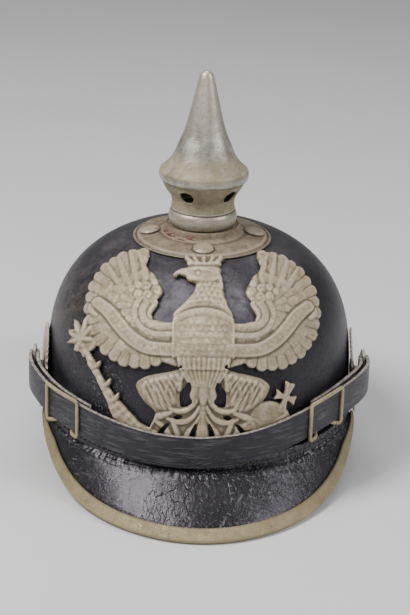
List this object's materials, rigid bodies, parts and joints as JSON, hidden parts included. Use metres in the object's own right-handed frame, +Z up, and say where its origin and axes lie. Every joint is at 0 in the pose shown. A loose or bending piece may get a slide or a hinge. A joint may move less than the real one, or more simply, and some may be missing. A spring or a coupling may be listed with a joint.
{
  "type": "spiked helmet",
  "caption": "Spiked leather military helmet with a pressed eagle plate, trimmed peak, neck guard, cockades and a buckled chin strap.",
  "frame": {"origin": "centre of the helmet's width and length, on the surface it stands on", "axes": "+Z up along the spike, -Y towards the peak, +X to the wearer's left hand side as seen by them, which is the right of a viewer in front"},
  "size_m": [0.209, 0.2954, 0.237],
  "materials": {
    "skull": "worn black lacquered leather, grey with age",
    "front_visor": "worn black lacquered leather, grey with age",
    "front_visor_trim": "matte buff grey field paint on pressed steel",
    "neck_guard": "worn black lacquered leather, grey with age",
    "rear_spine": "matte buff grey field paint on pressed steel",
    "base_plate": "matte buff grey field paint on pressed steel",
    "stud_front": "matte buff grey field paint on pressed steel",
    "stud_right": "matte buff grey field paint on pressed steel",
    "stud_rear": "matte buff grey field paint on pressed steel",
    "stud_left": "matte buff grey field paint on pressed steel",
    "spike": "grey painted steel worn to a soft silvery shine",
    "front_plate": "matte buff grey field paint on pressed steel",
    "chin_strap": "worn black lacquered leather, grey with age",
    "buckle_left": "matte yellowish grey field paint",
    "buckle_right": "matte yellowish grey field paint",
    "strap_lug_left": "matte buff grey field paint on pressed steel",
    "strap_lug_right": "matte buff grey field paint on pressed steel",
    "side_post_left": "matte buff grey field paint on pressed steel",
    "side_post_right": "matte buff grey field paint on pressed steel",
    "cockade_left": "pressed sheet in old rusty red and pale paint",
    "cockade_right": "pressed sheet in old rusty red and pale paint"
  },
  "bodies": {
    "helmet": {"skull": "skull", "front_visor": "front_visor", "front_visor_trim": "front_visor_trim", "neck_guard": "neck_guard", "rear_spine": "rear_spine", "base_plate": "base_plate", "stud_front": "stud_front", "stud_right": "stud_right", "stud_rear": "stud_rear", "stud_left": "stud_left", "front_plate": "front_plate", "chin_strap": "chin_strap", "buckle_left": "buckle_left", "buckle_right": "buckle_right", "strap_lug_left": "strap_lug_left", "strap_lug_right": "strap_lug_right", "side_post_left": "side_post_left", "side_post_right": "side_post_right", "cockade_left": "cockade_left", "cockade_right": "cockade_right"},
    "spike": {"spike": "spike"}
  },
  "joints": [
    {"name": "spike_turn", "type": "hinge", "parent": "helmet", "child": "spike", "pos_m": [0, 0.00095, 0.15], "axis": [0, 0, 1], "range_deg": [0, 45]}
  ]
}
